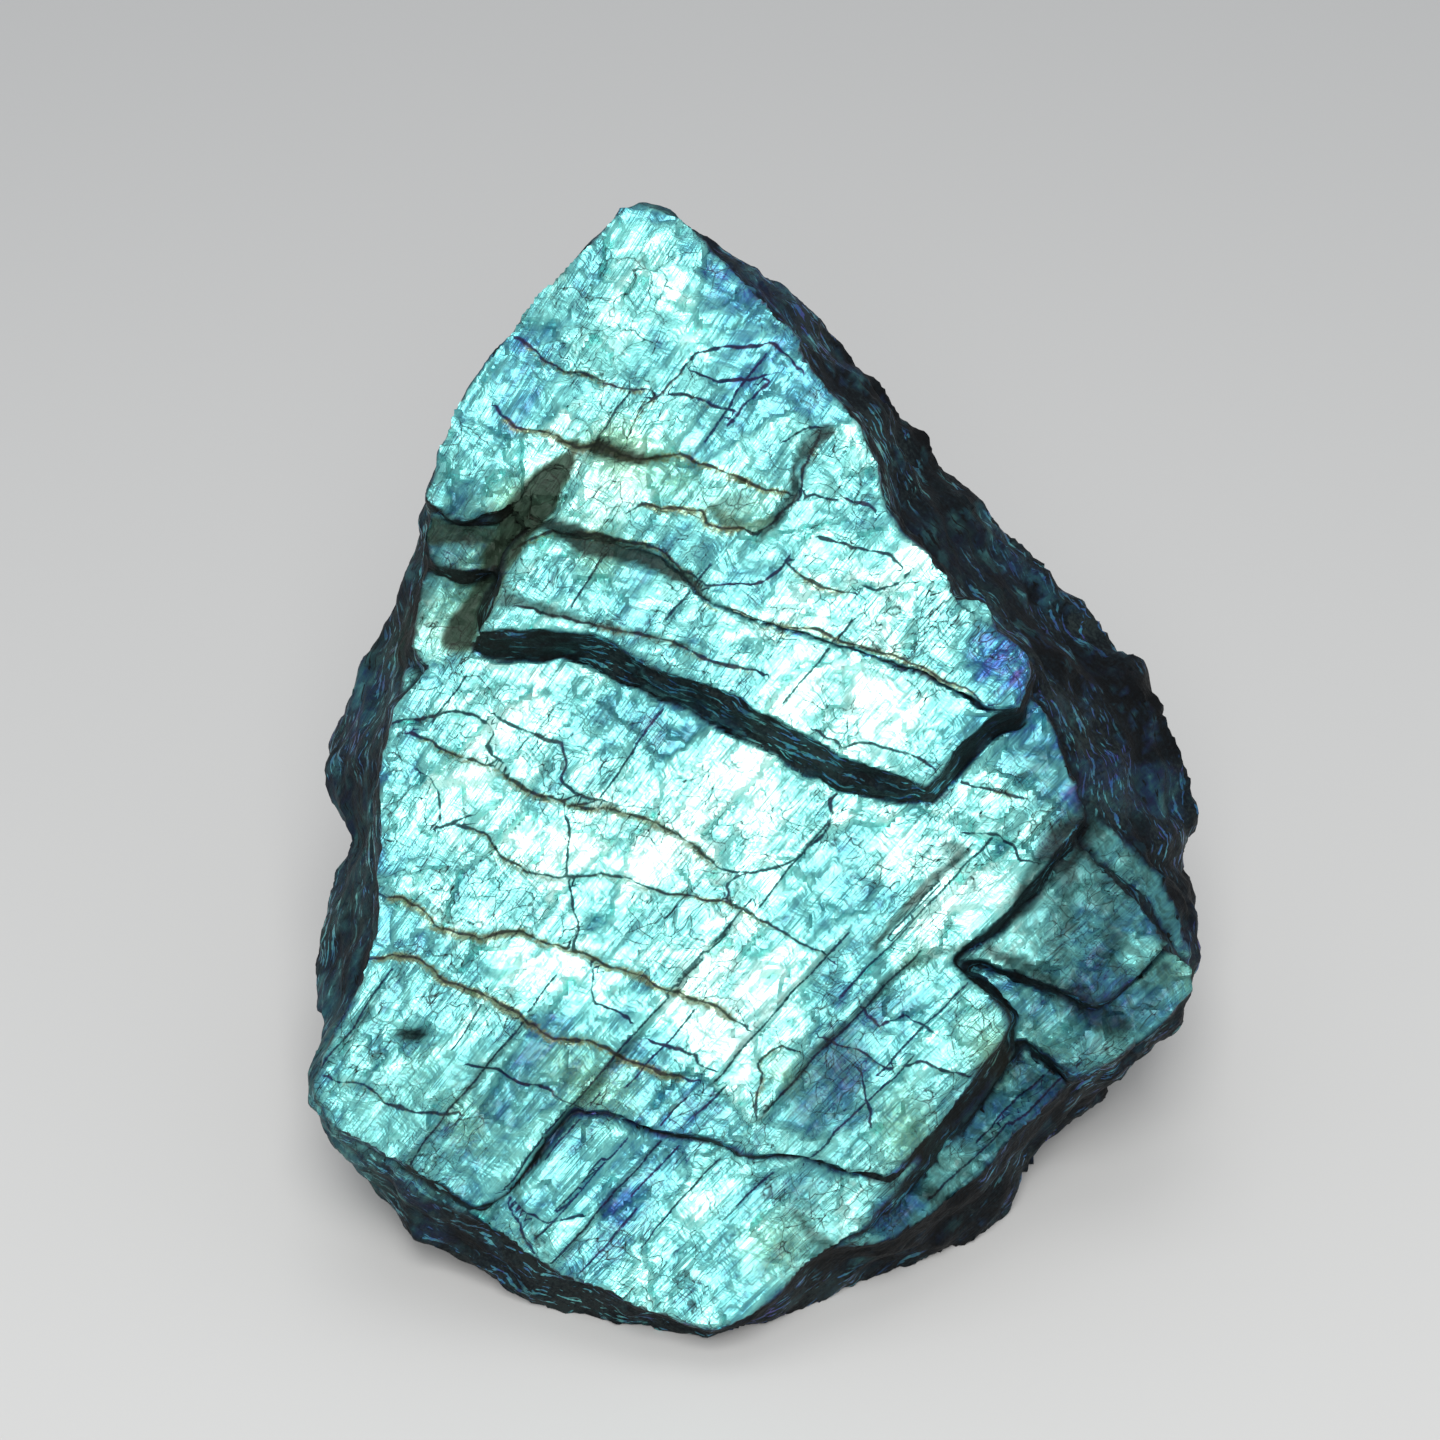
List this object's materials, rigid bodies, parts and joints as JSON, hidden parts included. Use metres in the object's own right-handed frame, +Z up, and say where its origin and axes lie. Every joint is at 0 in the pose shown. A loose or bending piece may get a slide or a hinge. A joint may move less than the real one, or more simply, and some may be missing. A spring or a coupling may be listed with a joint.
{
  "type": "rough labradorite chunk",
  "caption": "Rough chunk of labradorite with a leaning, stepped cleavage face that flashes blue-green, standing on a flat break.",
  "frame": {"origin": "centre of the chunk's outline, on the surface it stands on", "axes": "+Z up, +X to the right and -Y towards a viewer of the bright cleavage face, which leans back"},
  "size_m": [0.0798, 0.0738, 0.0786],
  "materials": {
    "labradorite": "rough broken feldspar, glossy blue-green flash on the cleavage face and dark grey-green sides"
  },
  "bodies": {
    "root": {"labradorite_chunk": "labradorite"}
  },
  "joints": []
}
